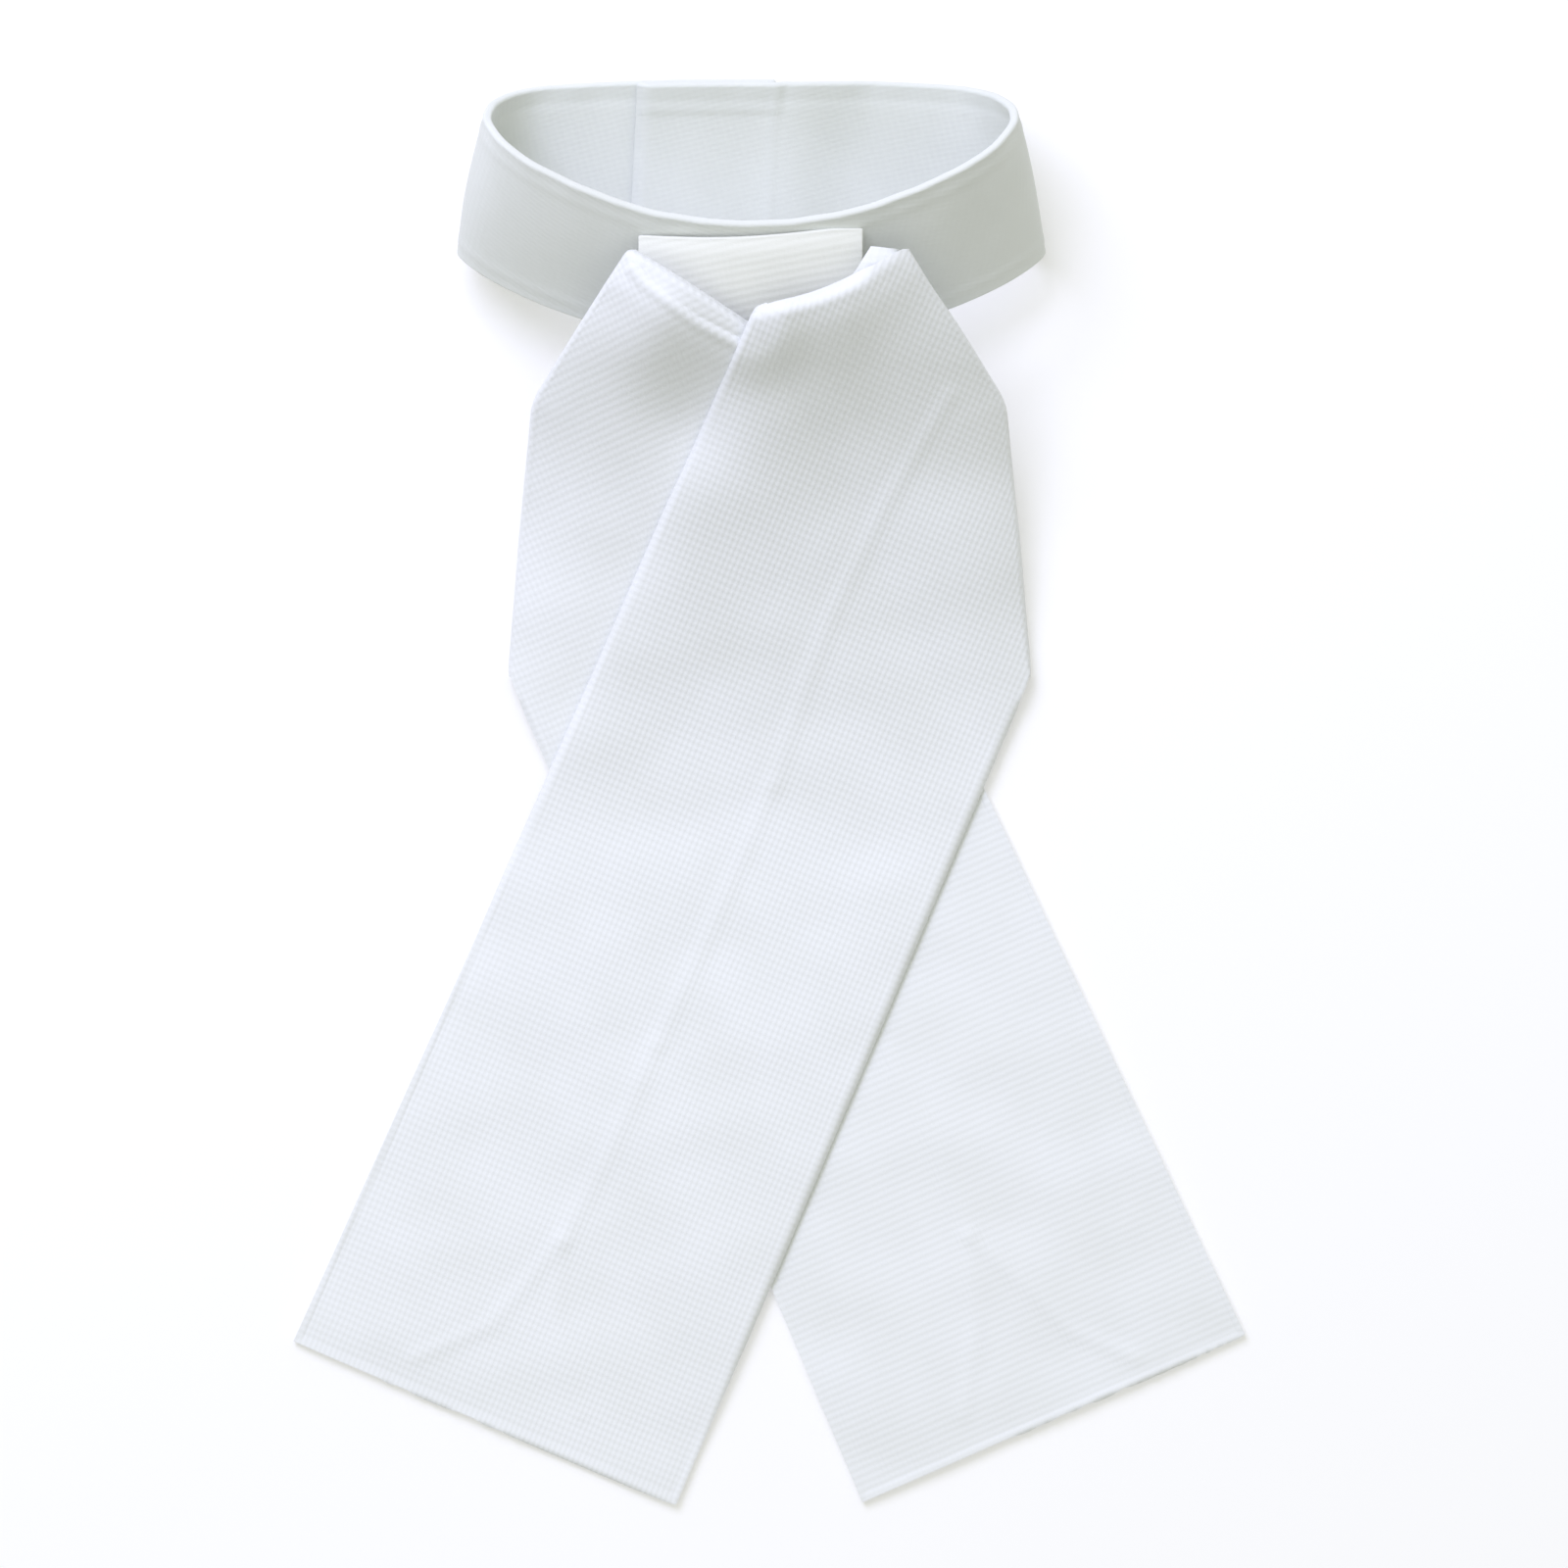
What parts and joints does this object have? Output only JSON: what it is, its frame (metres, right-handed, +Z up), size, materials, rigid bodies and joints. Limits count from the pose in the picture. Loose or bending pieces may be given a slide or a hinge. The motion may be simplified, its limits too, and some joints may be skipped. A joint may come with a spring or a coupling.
{
  "type": "ready-tied cravat",
  "caption": "Ready-tied riding cravat in white ribbed cotton: a standing neckband with a hook-and-loop overlap, a front yoke and long tails folded at the shoulder and crossed.",
  "frame": {"origin": "on the table, under the middle of the outline of the whole cravat as it lies", "axes": "+Y runs along the length from the tail ends up to the neckband, +X to the viewer's right, +Z up from the table"},
  "size_m": [0.2424, 0.3618, 0.0562],
  "materials": {
    "band_cotton": "matt ribbed cotton, pressed and stitched",
    "yoke_cotton": "matt ribbed cotton",
    "tail_cotton": "matt ribbed cotton, double layer, starched",
    "hook_tape": "white hook-and-loop tape"
  },
  "bodies": {
    "root": {"neckband": "band_cotton", "closure_patch": "hook_tape", "yoke": "yoke_cotton", "under_tail": "tail_cotton", "over_tail": "tail_cotton"}
  },
  "joints": []
}
